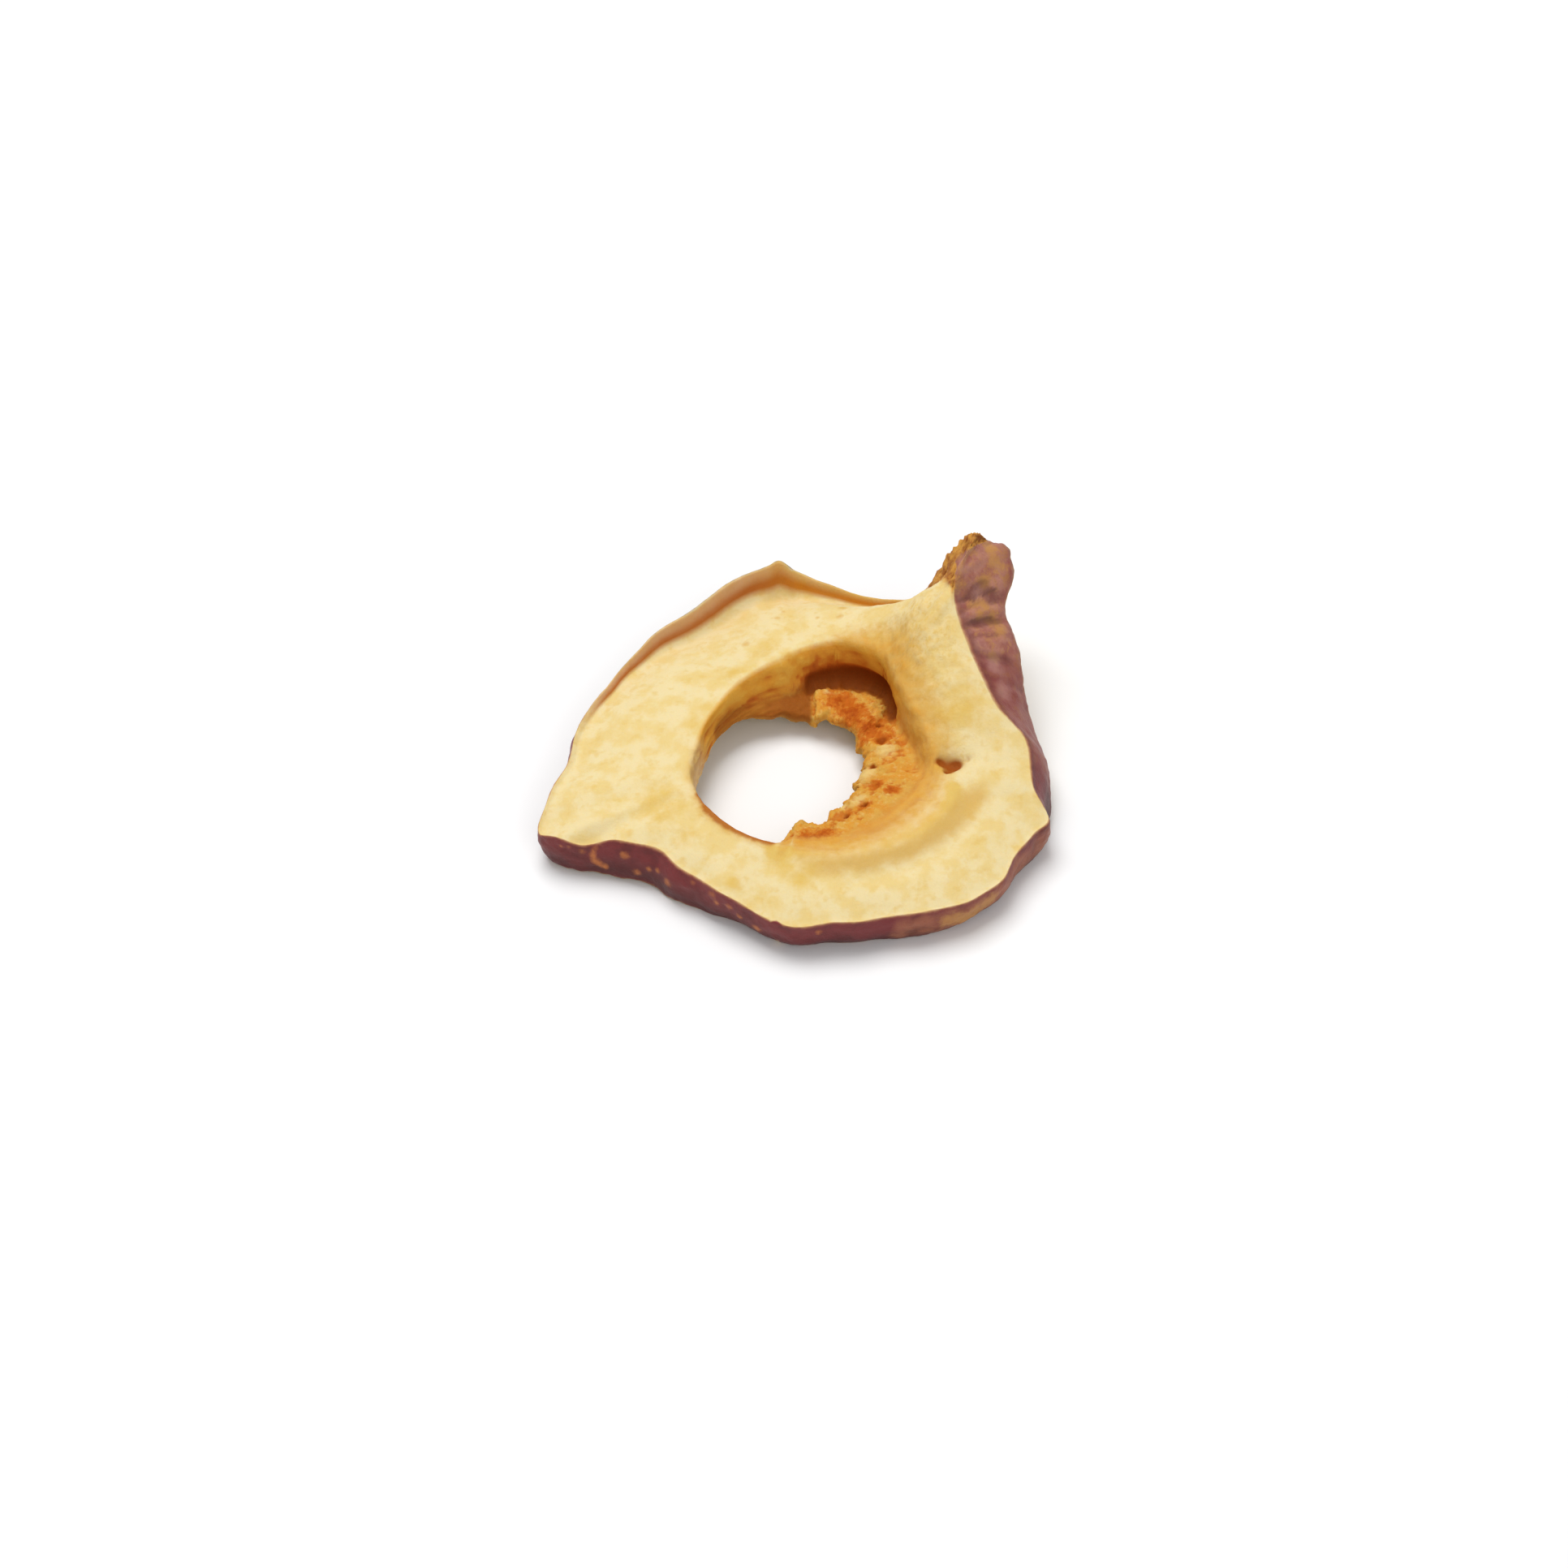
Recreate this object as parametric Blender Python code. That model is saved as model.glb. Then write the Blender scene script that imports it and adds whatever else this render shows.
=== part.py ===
"""Dried apple ring: one cored slice of apple, lying cut face up.

The slice has domed and curled in drying. Its skin stands up as a lip along the far side, one corner of the
rim is folded up into an ear, and a torn collar of core flesh still hangs inside the hole.
"""

import math

import bmesh
import bpy
import numpy as np

MM = 0.001

# Bearings are in degrees about the middle of the hole: 0 is to the right (+X), 90 is the far side (+Y).
# Radii and heights are in millimetres, and heights are above the table.

SLICE_THICKNESS = 5.4
SKIN_SWELL = 0.7
LIP_HOLLOW = 0.05
UNDERSIDE_HOLLOW = 0.3
UNDERSIDE_STEP_OUT = 1.5
RESTING_FLAT = 0.25

# Collar of core flesh: it counts as torn once it reaches this far in from the hole's edge
COLLAR_LEAST_REACH = 2.5
COLLAR_RAMP = 3.0
CORE_FLESH_THICKNESS = 2.2
BARE_WALL_THICKNESS = 0.9
TORN_EDGE_UNDERCUT = 0.4

# Upper edge of the hole: bearing, radius, height
HOLE_EDGE = (
    (0, 14.3, 8.8),
    (25, 13.1, 9.5),
    (40, 13.6, 9.8),
    (50, 14.9, 9.9),
    (60, 16.7, 9.9),
    (75, 17.7, 9.6),
    (90, 16.7, 9.3),
    (105, 14.9, 9.2),
    (125, 14.0, 9.0),
    (150, 13.3, 8.8),
    (175, 13.8, 8.6),
    (200, 15.8, 8.3),
    (220, 16.0, 8.1),
    (250, 16.2, 8.0),
    (270, 17.3, 7.8),
    (300, 18.3, 7.8),
    (325, 18.8, 8.0),
    (345, 16.5, 8.3),
)

# Foot of the hole's wall, where it meets the collar of core flesh or runs on down: bearing, radius, height
WALL_FOOT = (
    (4, 13.0, 5.0),
    (25, 12.6, 4.6),
    (38, 13.5, 4.1),
    (47, 14.8, 3.7),
    (56, 16.4, 3.4),
    (66, 16.4, 3.3),
    (80, 15.4, 3.6),
    (90, 14.2, 3.9),
    (105, 12.5, 4.5),
    (125, 12.4, 5.2),
    (140, 12.7, 6.2),
    (155, 12.9, 6.7),
    (175, 13.4, 6.6),
    (200, 15.4, 6.3),
    (235, 16.0, 6.2),
    (250, 15.8, 6.4),
    (262, 13.2, 6.2),
    (280, 13.2, 6.3),
    (318, 12.5, 6.5),
    (335, 13.0, 6.3),
    (350, 13.4, 5.6),
)

# Innermost edge, the torn edge of the collar or the bottom of a bare wall: bearing, radius, upper height
INNER_EDGE = (
    (17, 6.6, 4.2),
    (38, 7.4, 4.2),
    (55, 8.1, 4.3),
    (76, 8.8, 4.5),
    (85, 9.1, 4.5),
    (89, 9.5, 3.8),
    (104, 9.6, 3.8),
    (118, 10.5, 4.0),
    (130, 11.5, 4.4),
    (144, 12.2, 4.8),
    (160, 12.7, 4.8),
    (175, 13.0, 4.6),
    (200, 15.0, 4.4),
    (235, 15.6, 4.4),
    (252, 14.8, 4.9),
    (257, 11.6, 4.9),
    (262, 9.4, 4.7),
    (278, 9.0, 4.4),
    (290, 7.6, 4.3),
    (306, 6.6, 4.2),
    (320, 6.0, 4.1),
    (340, 5.7, 4.1),
    (355, 5.7, 4.1),
)

# Edge between cut face and skin: bearing, radius, height
SKIN_TOP = (
    (0, 26.0, 9.8),
    (8, 23.3, 11.7),
    (16, 22.3, 13.0),
    (27, 22.2, 14.7),
    (36, 22.7, 16.2),
    (42, 23.8, 17.7),
    (46, 26.0, 20.0),
    (49, 31.2, 22.2),
    (55, 30.2, 17.2),
    (60, 29.4, 10.8),
    (66, 28.5, 7.7),
    (75, 27.8, 7.5),
    (86, 28.4, 8.5),
    (92, 29.6, 9.0),
    (95, 30.4, 9.5),
    (97.5, 31.2, 10.2),
    (100, 30.6, 10.0),
    (104, 30.2, 9.7),
    (112, 29.3, 9.3),
    (118, 28.5, 8.9),
    (124, 28.1, 8.4),
    (135, 27.9, 7.8),
    (145, 28.0, 7.2),
    (165, 28.8, 6.6),
    (182, 30.5, 6.2),
    (193, 33.4, 6.2),
    (199, 35.3, 5.2),
    (203, 33.6, 6.5),
    (206.5, 31.0, 5.4),
    (210, 27.9, 6.7),
    (224, 24.1, 6.4),
    (236, 24.1, 6.1),
    (248, 25.3, 5.9),
    (262, 26.9, 5.6),
    (285, 27.1, 5.6),
    (302, 28.5, 5.6),
    (312, 30.4, 5.5),
    (318, 30.3, 5.5),
    (328, 29.3, 5.6),
    (336, 29.5, 5.8),
    (340.5, 30.8, 6.1),
    (346, 28.2, 7.8),
    (353, 27.2, 8.6),
)

# Lower edge of the skin: bearing, radius, height
SKIN_FOOT = (
    (0, 29.2, 3.2),
    (8, 28.6, 4.8),
    (16, 28.0, 7.4),
    (27, 29.3, 11.4),
    (36, 29.7, 14.2),
    (41, 33.6, 16.6),
    (46, 35.1, 18.8),
    (51, 34.0, 14.5),
    (57, 31.9, 7.8),
    (63, 30.0, 2.0),
    (70, 28.4, 0),
    (97, 29.0, 0),
    (124, 27.0, 0),
    (150, 27.2, 0.5),
    (175, 28.8, 0.7),
    (192, 32.0, 0.7),
    (200, 33.9, 0.6),
    (210, 29.0, 0.7),
    (220, 25.5, 0.6),
    (232, 24.3, 0.4),
    (244, 23.5, 0),
    (260, 24.9, 0),
    (285, 25.8, 0),
    (300, 27.2, 0),
    (314, 28.8, 0),
    (330, 28.5, 0),
    (340, 29.6, 0.2),
    (350, 30.2, 1.2),
)

# Lip of skin that stands above the cut face: bearing, width, height
LIP = (
    (0, 0.7, 0.05),
    (43, 0.7, 0.1),
    (46, 1.4, 1.4),
    (49, 5.2, 4.6),
    (52, 4.2, 4.2),
    (55, 3.2, 3.7),
    (60, 1.9, 2.0),
    (66, 0.8, 1.2),
    (75, 0.8, 1.6),
    (86, 1.0, 2.4),
    (92, 1.2, 3.4),
    (97.5, 1.4, 5.2),
    (104, 1.3, 4.3),
    (112, 1.3, 4.5),
    (120, 1.3, 4.1),
    (135, 1.2, 2.9),
    (150, 1.0, 1.6),
    (190, 0.8, 0.5),
    (215, 0.7, 0.05),
    (330, 0.7, 0.05),
)

# Swell of the collar's upper side, like a roll: bearing, height
COLLAR_SWELL = (
    (0, 0.6),
    (40, 0.8),
    (85, 0.8),
    (89, 0.2),
    (250, 0.2),
    (330, 0.4),
)

# Swell of the cut face between hole and skin: bearing, height
FACE_SWELL = (
    (0, 0.4),
    (30, 0.3),
    (42, 0.5),
    (49, 1.1),
    (55, 3.0),
    (61, 3.9),
    (68, 2.9),
    (76, 1.8),
    (88, 0.9),
    (110, 0.4),
    (180, 0.5),
    (235, 0.3),
    (300, 0.2),
)

# Soft valley that follows the hole's rounded near shoulder
VALLEY_DEPTH = 0.7
VALLEY_OFFSET = 3.2
VALLEY_WIDTH = 1.5
VALLEY_BEARING = 305
VALLEY_REACH = 38

# Pit of a seed pocket, just outside the hole on the right
PIT_BEARING = 352.6
PIT_RADIUS = 17.4
PIT_DEPTH = 1.6
PIT_LENGTH = 1.5
PIT_WIDTH = 1.2

# Shrinkage waves of the rim and the torn edge: how many round the ring, how high, where they start
RIM_WAVES = ((11, 0.22, 0.7), (19, 0.16, 2.1), (27, 0.09, 1.3))
RIM_LIFTS = ((13, 0.10, 1.9), (21, 0.08, 0.4))
TORN_WAVES = ((7, 0.25, 0.5), (13, 0.28, 2.4), (23, 0.20, 1.1))
TORN_LIFT = 0.5
SMOOTH_RIM_BEARING = 70
SMOOTH_RIM_REACH = 65
SMOOTH_RIM_SHARE = 0.85

# Stations round the ring, closer together at the ear, the torn ends of the collar and the pinched left end:
# bearing, reach, extra density
STATION_COUNT = 156
BEARING_STEP = 0.25
CLOSER_AT = (
    (50, 9, 1.6),
    (97, 6, 1.0),
    (87, 3, 1.5),
    (257, 5, 1.2),
    (204, 7, 1.2),
    (341, 6, 0.8),
)

# Points along each stretch of a section, in order round it
FACE_STEPS = 8
LIP_STEPS = 2
SKIN_STEPS = 4
UNDERSIDE_STEPS = 5
COLLAR_UNDER_STEPS = 2
TORN_EDGE_STEPS = 1
COLLAR_TOP_STEPS = 4
WALL_STEPS = 2
SHARP_ANGLE = 50

FLESH_COLOUR = (0.87, 0.70, 0.37, 1.0)
SKIN_COLOUR = (0.27, 0.09, 0.10, 1.0)
FLESH_ROUGHNESS = 0.62
SKIN_ROUGHNESS = 0.48


def clear_scene():
    for old in list(bpy.data.objects):
        bpy.data.objects.remove(old, do_unlink=True)


def around(table, column, bearing):
    """Reads one column of a table at a bearing, along a smooth closed curve that never overshoots."""
    knots = sorted(table)
    angles = [row[0] for row in knots]
    values = [row[column] for row in knots]
    angles = [angles[-2] - 360, angles[-1] - 360] + angles + [angles[0] + 360, angles[1] + 360]
    values = values[-2:] + values + values[:2]
    bearing = bearing % 360
    i = int(np.searchsorted(angles, bearing, side="right")) - 1

    def slope(k):
        before = (values[k] - values[k - 1]) / (angles[k] - angles[k - 1])
        after = (values[k + 1] - values[k]) / (angles[k + 1] - angles[k])
        if before * after <= 0:
            return 0.0
        return 2 * before * after / (before + after)

    width = angles[i + 1] - angles[i]
    t = (bearing - angles[i]) / width
    start = (1 + 2 * t) * (1 - t) ** 2 * values[i] + t * (1 - t) ** 2 * width * slope(i)
    end = t * t * (3 - 2 * t) * values[i + 1] + t * t * (t - 1) * width * slope(i + 1)
    return start + end


def turned_from(bearing, middle):
    """Degrees from a middle bearing, the short way round."""
    return (bearing - middle + 180) % 360 - 180


def ripple(bearing, waves):
    """Sum of sine waves round the ring: each is how many, how high and where it starts."""
    return sum(height * math.sin(math.radians(count * bearing) + start) for count, height, start in waves)


def station_bearings():
    """Bearings of the sections, denser where the ring changes fast."""
    fine = np.arange(0, 360, BEARING_STEP)
    density = np.ones(len(fine))
    for middle, reach, extra in CLOSER_AT:
        away = (fine - middle + 180) % 360 - 180
        density += extra * np.exp(-((away / reach) ** 2))
    total = np.concatenate([[0], np.cumsum(density)])
    marks = np.arange(STATION_COUNT) / STATION_COUNT * total[-1]
    return np.interp(marks, total, np.append(fine, 360))


def run(start, end, bow, steps):
    """Points from start up to, but not including, end, bowed outwards from the solid by bow."""
    start = np.array(start)
    end = np.array(end)
    along = end - start
    length = max(np.hypot(*along), 1e-6)
    outwards = np.array([-along[1], along[0]]) / length
    points = []
    for k in range(steps):
        s = k / steps
        points.append(start + along * s + outwards * bow * 4 * s * (1 - s))
    return points


def cut_face(bearing, edge, crease):
    """The cut face from the hole's edge out to the crease under the lip."""
    swell = around(FACE_SWELL, 1, bearing) * 27 / 4  # s * s * (1 - s) peaks at 4 / 27
    valley = VALLEY_DEPTH * math.exp(-((turned_from(bearing, VALLEY_BEARING) / VALLEY_REACH) ** 2))
    points = []
    for k in range(FACE_STEPS):
        s = k / FACE_STEPS
        radius = edge[0] + (crease[0] - edge[0]) * s
        height = edge[1] + (crease[1] - edge[1]) * s
        height += swell * s * s * (1 - s)
        height -= valley * math.exp(-(((radius - edge[0] - VALLEY_OFFSET) / VALLEY_WIDTH) ** 2))
        sideways = math.radians(turned_from(bearing, PIT_BEARING)) * radius
        lengthways = radius - PIT_RADIUS
        height -= PIT_DEPTH * math.exp(-((sideways / PIT_WIDTH) ** 2) - (lengthways / PIT_LENGTH) ** 2)
        points.append(np.array([radius, height]))
    return points


def section(bearing):
    """Closed outline of the slice at a bearing, as radius and height, from the hole's upper edge outwards."""
    from_calm = turned_from(bearing, SMOOTH_RIM_BEARING) / SMOOTH_RIM_REACH
    calm = 1 - SMOOTH_RIM_SHARE * math.exp(-(from_calm**2))
    rim_wave = calm * ripple(bearing, RIM_WAVES)
    rim_lift = calm * ripple(bearing, RIM_LIFTS)
    torn = ripple(bearing, TORN_WAVES)

    edge = (around(HOLE_EDGE, 1, bearing), around(HOLE_EDGE, 2, bearing))
    foot = (around(WALL_FOOT, 1, bearing), around(WALL_FOOT, 2, bearing))
    inner_radius = around(INNER_EDGE, 1, bearing)
    inner_height = around(INNER_EDGE, 2, bearing)
    collar = min(max((edge[0] - inner_radius - COLLAR_LEAST_REACH) / COLLAR_RAMP, 0), 1)
    inner_top = (inner_radius + torn * collar, inner_height + TORN_LIFT * torn * collar)
    thickness = BARE_WALL_THICKNESS + (CORE_FLESH_THICKNESS - BARE_WALL_THICKNESS) * collar
    inner_bottom = (inner_top[0] + TORN_EDGE_UNDERCUT, inner_top[1] - thickness)

    skin_top = (around(SKIN_TOP, 1, bearing) + rim_wave, around(SKIN_TOP, 2, bearing) + rim_lift)
    crease = (skin_top[0] - around(LIP, 1, bearing), skin_top[1] - around(LIP, 2, bearing))
    skin_foot = (around(SKIN_FOOT, 1, bearing) + rim_wave, around(SKIN_FOOT, 2, bearing))
    belly_height = min(edge[1] - SLICE_THICKNESS, foot[1] - CORE_FLESH_THICKNESS)
    belly = (edge[0] + UNDERSIDE_STEP_OUT, belly_height)

    points = cut_face(bearing, edge, crease)
    points += run(crease, skin_top, -LIP_HOLLOW, LIP_STEPS)
    points += run(skin_top, skin_foot, SKIN_SWELL, SKIN_STEPS)
    points += run(skin_foot, belly, -UNDERSIDE_HOLLOW, UNDERSIDE_STEPS)
    points += run(belly, inner_bottom, 0, COLLAR_UNDER_STEPS)
    points += run(inner_bottom, inner_top, 0, TORN_EDGE_STEPS)
    points += run(inner_top, foot, around(COLLAR_SWELL, 1, bearing) * collar, COLLAR_TOP_STEPS)
    points += run(foot, edge, 0, WALL_STEPS)
    return [(radius, max(height - RESTING_FLAT, 0)) for radius, height in points]


def plain_material(name, colour, roughness):
    material = bpy.data.materials.new(name)
    material.use_nodes = True
    shader = material.node_tree.nodes["Principled BSDF"]
    shader.inputs["Base Color"].default_value = colour
    shader.inputs["Roughness"].default_value = roughness
    shader.inputs["Metallic"].default_value = 0
    return material


def apple_ring():
    """Lofts the sections into one closed solid, with the skin as its second material."""
    mesh = bmesh.new()
    sections = []
    for bearing in station_bearings():
        across = math.cos(math.radians(bearing)) * MM
        along = math.sin(math.radians(bearing)) * MM
        outline = section(bearing)
        places = [(radius * across, radius * along, height * MM) for radius, height in outline]
        sections.append([mesh.verts.new(place) for place in places])

    first_skin = FACE_STEPS + LIP_STEPS
    per_section = len(sections[0])
    for here, following in zip(sections, sections[1:] + sections[:1]):
        for k in range(per_section):
            after = (k + 1) % per_section
            face = mesh.faces.new((here[k], here[after], following[after], following[k]))
            face.smooth = True
            face.material_index = int(first_skin <= k < first_skin + SKIN_STEPS)
    bmesh.ops.recalc_face_normals(mesh, faces=mesh.faces)

    corners = np.array([vertex.co for vertex in mesh.verts])
    middle = (corners.min(axis=0) + corners.max(axis=0)) / 2
    bmesh.ops.translate(mesh, verts=mesh.verts, vec=(-middle[0], -middle[1], 0))

    data = bpy.data.meshes.new("apple_ring")
    mesh.to_mesh(data)
    mesh.free()
    data.set_sharp_from_angle(angle=math.radians(SHARP_ANGLE))
    data.materials.append(plain_material("Dried apple flesh", FLESH_COLOUR, FLESH_ROUGHNESS))
    data.materials.append(plain_material("Dried apple skin", SKIN_COLOUR, SKIN_ROUGHNESS))
    ring = bpy.data.objects.new("apple_ring", data)
    bpy.context.scene.collection.objects.link(ring)
    return ring


clear_scene()
apple_ring()
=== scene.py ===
import math

import bpy
import numpy as np
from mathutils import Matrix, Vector, noise


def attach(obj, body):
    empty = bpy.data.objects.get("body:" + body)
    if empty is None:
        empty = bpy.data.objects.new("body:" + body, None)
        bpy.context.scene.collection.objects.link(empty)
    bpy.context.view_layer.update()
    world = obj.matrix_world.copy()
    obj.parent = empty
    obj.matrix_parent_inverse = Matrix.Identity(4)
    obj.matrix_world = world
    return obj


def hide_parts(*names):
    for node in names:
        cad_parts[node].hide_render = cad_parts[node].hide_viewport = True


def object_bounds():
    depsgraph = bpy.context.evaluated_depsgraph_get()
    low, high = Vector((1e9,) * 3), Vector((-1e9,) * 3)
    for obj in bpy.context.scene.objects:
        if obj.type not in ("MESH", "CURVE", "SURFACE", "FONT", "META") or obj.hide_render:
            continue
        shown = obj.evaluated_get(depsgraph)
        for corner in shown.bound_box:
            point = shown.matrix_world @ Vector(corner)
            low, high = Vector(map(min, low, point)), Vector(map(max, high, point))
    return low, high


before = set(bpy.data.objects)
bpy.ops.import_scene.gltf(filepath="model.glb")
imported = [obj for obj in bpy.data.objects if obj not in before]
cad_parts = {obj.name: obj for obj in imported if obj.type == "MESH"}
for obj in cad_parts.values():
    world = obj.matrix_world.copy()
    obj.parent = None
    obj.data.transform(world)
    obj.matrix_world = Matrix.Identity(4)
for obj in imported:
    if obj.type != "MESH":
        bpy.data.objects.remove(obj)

cad_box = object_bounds()

# Viewpoint: a long lens looks down on the slice from its front side, as a product photograph does.
CAMERA_ELEVATION = math.radians(47)
CAMERA_LENS_MM = 120
CAMERA_SENSOR_MM = 36
VIEW_WIDTH = 0.1932
AIM = Vector((-0.00139, -0.00463, 0.00433))
camera_data = bpy.data.cameras.new("Camera")
camera_data.lens = CAMERA_LENS_MM
camera_data.sensor_width = CAMERA_SENSOR_MM
camera_data.clip_start = 0.01
camera = bpy.data.objects.new("Camera", camera_data)
bpy.context.scene.collection.objects.link(camera)
forward = Vector((0, math.cos(CAMERA_ELEVATION), -math.sin(CAMERA_ELEVATION)))
camera.location = AIM - forward * VIEW_WIDTH * CAMERA_LENS_MM / CAMERA_SENSOR_MM
camera.rotation_euler = (math.pi / 2 - CAMERA_ELEVATION, 0, 0)
bpy.context.scene.camera = camera

# Table: a plain pale studio sheet under the slice.
TABLE_SIZE = 3.0
TABLE_COLOUR = (0.86, 0.86, 0.86, 1)
bpy.ops.object.select_all(action="DESELECT")
bpy.ops.mesh.primitive_plane_add(size=TABLE_SIZE, location=(0, 0, 0))
table = bpy.context.object
table.name = "table"
table_material = bpy.data.materials.new("Pale studio sheet")
table_material.use_nodes = True
table_shader = table_material.node_tree.nodes["Principled BSDF"]
table_shader.inputs["Base Color"].default_value = TABLE_COLOUR
table_shader.inputs["Roughness"].default_value = 0.9
table.data.materials.append(table_material)

# Studio light: one large soft box high behind on the left, a weaker one in front, and a pale room.
bpy.context.scene.view_settings.view_transform = "Standard"
room = bpy.data.worlds.new("Pale room")
room.use_nodes = True
room.node_tree.nodes["Background"].inputs["Color"].default_value = (1, 1, 1, 1)
room.node_tree.nodes["Background"].inputs["Strength"].default_value = 0.5
bpy.context.scene.world = room
SOFT_BOXES = (
    ("Key soft box", (-0.15, 0.22, 0.80), 0.55, 5.6),
    ("Front soft box", (0.30, -0.70, 0.55), 0.6, 1.6),
)
for name, place, width, watts in SOFT_BOXES:
    box_data = bpy.data.lights.new(name, "AREA")
    box_data.size = width
    box_data.energy = watts
    soft_box = bpy.data.objects.new(name, box_data)
    soft_box.location = place
    soft_box.rotation_euler = (-Vector(place)).to_track_quat("-Z", "Y").to_euler()
    bpy.context.scene.collection.objects.link(soft_box)

# Apple ring: one cored slice of apple with its skin left on the rim, dried until it domed and curled.
# The flesh has shrunk into grain and fibres, and a torn collar of core flesh is left in the hole.
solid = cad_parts["apple_ring"]
bpy.ops.object.select_all(action="DESELECT")
solid.select_set(True)
bpy.context.view_layer.objects.active = solid
bpy.ops.object.duplicate()
ring = bpy.context.object
ring.name = "apple_ring_slice"
ring.data.name = "apple_ring_slice"
ring.data.materials.clear()
for key in list(ring.keys()):
    del ring[key]

bpy.ops.object.mode_set(mode="EDIT")
bpy.ops.mesh.select_all(action="SELECT")
bpy.ops.mesh.remove_doubles(threshold=1e-6)
bpy.ops.object.mode_set(mode="OBJECT")

# Bearings run round the middle of the hole, 0 to the right and 90 at the far side.
HOLE_MIDDLE = np.array((2.01, -1.77))


def places(mesh):
    """Every corner of a mesh in millimetres, with its radius and bearing about the hole."""
    corners = np.empty(len(mesh.vertices) * 3)
    mesh.vertices.foreach_get("co", corners)
    corners = corners.reshape(-1, 3) * 1000
    away = corners[:, :2] - HOLE_MIDDLE
    return corners, np.hypot(away[:, 0], away[:, 1]), np.degrees(np.arctan2(away[:, 1], away[:, 0])) % 360


# Each upright section of the slice is one loop of corners. From the skin's lower edge it runs up the skin to
# the rim, down the lip, in over the cut face, down the hole's wall, over the collar and back underneath.
SAME_SECTION = 0.3
SKIN_TOP_ROW = 4
LIP_FOOT_ROW = 6
HOLE_RIM_ROW = 14
WALL_FOOT_ROW = 16
TORN_EDGE_ROW = 20
TORN_FOOT_ROW = 21
STRETCHES = {
    "skin": (0, SKIN_TOP_ROW),
    "lip": (SKIN_TOP_ROW, LIP_FOOT_ROW),
    "cut": (LIP_FOOT_ROW, HOLE_RIM_ROW),
    "wall": (HOLE_RIM_ROW, WALL_FOOT_ROW),
    "collar": (WALL_FOOT_ROW, TORN_FOOT_ROW),
}
place, radius, bearing = places(ring.data)
neighbours = [[] for _ in place]
for edge in ring.data.edges:
    one, other = edge.vertices
    if abs((bearing[one] - bearing[other] + 180) % 360 - 180) < SAME_SECTION:
        neighbours[one].append(other)
        neighbours[other].append(one)
shares = {name: np.zeros(len(place)) for name in STRETCHES}
lines = {row: [] for row in (SKIN_TOP_ROW, LIP_FOOT_ROW, HOLE_RIM_ROW, WALL_FOOT_ROW, TORN_EDGE_ROW)}
skin_edges = set()
unseen = set(range(len(place)))
while unseen:
    loop = [unseen.pop()]
    for corner in loop:
        following = [beside for beside in neighbours[corner] if beside in unseen]
        unseen.difference_update(following)
        loop.extend(following)
    skin_foot = max(loop, key=lambda corner: radius[corner] - place[corner, 2])
    outline = [skin_foot, max(neighbours[skin_foot], key=lambda corner: radius[corner] + place[corner, 2])]
    while len(outline) <= TORN_FOOT_ROW:
        outline.append(next(beside for beside in neighbours[outline[-1]] if beside != outline[-2]))
    for name, (first, last) in STRETCHES.items():
        shares[name][outline[first + 1:last]] = 1
        shares[name][outline[first]] = shares[name][outline[last]] = 0.5
    for row in lines:
        lines[row].append((bearing[outline[row]], radius[outline[row]], place[outline[row], 2]))
    skin_edges.update((outline[0], outline[SKIN_TOP_ROW]))
for name, share in shares.items():
    ring.data.attributes.new(name, "FLOAT", "POINT").data.foreach_set("value", share)
lines = {row: np.array(sorted(line)) for row, line in lines.items()}

SKIN_EDGE_TIGHTNESS = 0.5
on_skin_edge = [set(edge.vertices) <= skin_edges for edge in ring.data.edges]
ring.data.attributes.new("crease_edge", "FLOAT", "EDGE").data.foreach_set(
    "value", [SKIN_EDGE_TIGHTNESS * both for both in on_skin_edge])
for edge, both in zip(ring.data.edges, on_skin_edge):
    edge.use_seam = both
QUAD_LIMIT = math.radians(60)
bpy.ops.object.mode_set(mode="EDIT")
bpy.ops.mesh.select_all(action="SELECT")
bpy.ops.mesh.tris_convert_to_quads(face_threshold=QUAD_LIMIT, shape_threshold=QUAD_LIMIT, seam=True)
bpy.ops.mesh.mark_seam(clear=True)
bpy.ops.object.mode_set(mode="OBJECT")
smoothing = ring.modifiers.new("Soft flesh", "SUBSURF")
smoothing.levels = 2
smoothing.render_levels = 2
bpy.ops.object.select_all(action="DESELECT")
ring.select_set(True)
bpy.context.view_layer.objects.active = ring
bpy.ops.object.modifier_apply(modifier=smoothing.name)
ring.data.attributes.remove(ring.data.attributes["crease_edge"])

place, radius, bearing = places(ring.data)
count = len(place)
height = place[:, 2]
facing = np.array([vertex.normal for vertex in ring.data.vertices])
outwards = (place[:, :2] - HOLE_MIDDLE) / radius[:, None]
for name in shares:
    shares[name] = np.empty(count)
    ring.data.attributes[name].data.foreach_get("value", shares[name])
skin, lip, cut, wall, collar = shares.values()


def ramp(value, low, high):
    """Rises smoothly from 0 at low to 1 at high; low may be the larger."""
    share = np.clip((value - low) / (high - low), 0, 1)
    return share * share * (3 - 2 * share)


def between(middle, reach):
    """Full within reach degrees of a bearing, fading over a further third."""
    away = np.abs((bearing - middle + 180) % 360 - 180)
    return ramp(away, reach * 1.33, reach)


def near(middle, reach):
    """Soft round spot about x, y and z in millimetres."""
    return np.exp(-(((place - np.array(middle)) / np.array(reach)) ** 2).sum(axis=1))


def along_line(row, column):
    """Radius (1) or height (2) of a line of the slice at every corner's bearing."""
    line = lines[row]
    return np.interp(bearing, line[:, 0], line[:, column], period=360)


NOISE_STRETCH = 1.3


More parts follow.
